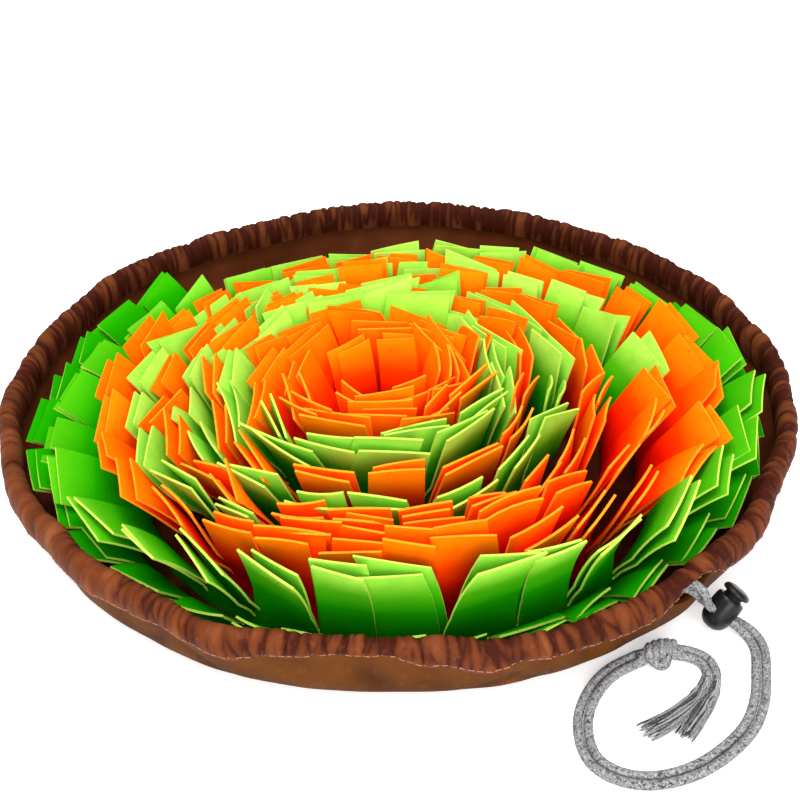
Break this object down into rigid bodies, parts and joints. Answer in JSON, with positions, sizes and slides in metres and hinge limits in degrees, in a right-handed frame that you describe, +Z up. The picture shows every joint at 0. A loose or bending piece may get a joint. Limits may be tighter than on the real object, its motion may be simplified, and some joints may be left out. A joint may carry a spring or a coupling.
{
  "type": "snuffle mat",
  "caption": "Round drawstring snuffle mat for a dog: a low nylon dish filled with rings of green and orange felt tabs, its cord drawn through a black sprung cord lock and knotted.",
  "frame": {"origin": "centre of the mat on the surface that it rests on", "axes": "+Z up; the cord comes out at the front right, +X to the right and +Y to the back"},
  "size_m": [0.4761, 0.5121, 0.0662],
  "materials": {
    "shell_nylon": "ochre brown woven nylon, slight sheen",
    "casing_nylon": "red-brown woven nylon, gathered in small puckers",
    "green_felt": "matte pressed felt",
    "orange_felt": "matte pressed felt",
    "grey_cotton": "braided cotton cord, light grey with dark flecks",
    "black_plastic": "moulded, satin gloss"
  },
  "bodies": {
    "mat": {"dish_shell": "shell_nylon", "rim_casing": "casing_nylon", "fringe_p1": "green_felt", "fringe_p2": "green_felt", "fringe_p3": "green_felt", "fringe_p4": "green_felt", "fringe_a1": "green_felt", "fringe_a2": "green_felt", "fringe_a3": "green_felt", "fringe_a4": "green_felt", "fringe_a5": "green_felt", "fringe_a6": "green_felt", "fringe_i1": "orange_felt", "fringe_i2": "orange_felt", "fringe_i3": "orange_felt", "fringe_i4": "orange_felt", "fringe_i5": "orange_felt", "fringe_i6": "orange_felt", "fringe_b1": "green_felt", "fringe_b2": "green_felt", "fringe_b3": "green_felt", "fringe_b4": "green_felt", "fringe_b5": "orange_felt", "fringe_b6": "orange_felt", "fringe_c1": "orange_felt", "fringe_c2": "orange_felt", "fringe_c3": "orange_felt", "fringe_c4": "orange_felt", "fringe_c5": "orange_felt", "fringe_c6": "orange_felt", "fringe_d1": "green_felt", "fringe_d2": "green_felt", "fringe_d3": "green_felt", "fringe_d4": "green_felt", "fringe_d5": "green_felt", "fringe_d6": "green_felt", "fringe_e1": "orange_felt", "fringe_e2": "orange_felt", "fringe_e3": "orange_felt", "fringe_e4": "orange_felt", "fringe_e5": "orange_felt", "fringe_f1": "green_felt", "fringe_f2": "green_felt", "fringe_f3": "green_felt", "fringe_f4": "green_felt", "fringe_f5": "green_felt", "fringe_g1": "orange_felt", "fringe_g2": "orange_felt", "fringe_g3": "orange_felt", "fringe_g4": "orange_felt", "fringe_h1": "orange_felt", "fringe_h2": "orange_felt", "fringe_h3": "orange_felt", "cord_a": "grey_cotton", "cord_b": "grey_cotton", "cord_knot": "grey_cotton", "cord_tail_a": "grey_cotton", "cord_tail_b": "grey_cotton", "lock_barrel": "black_plastic"},
    "lock_button": {"lock_button": "black_plastic"}
  },
  "joints": [
    {"name": "lock_button_slide", "type": "slide", "parent": "mat", "child": "lock_button", "axis": [-0.629, -0.2886, -0.7219], "range_m": [0, 0.002], "stiffness_N_per_m": 900}
  ]
}
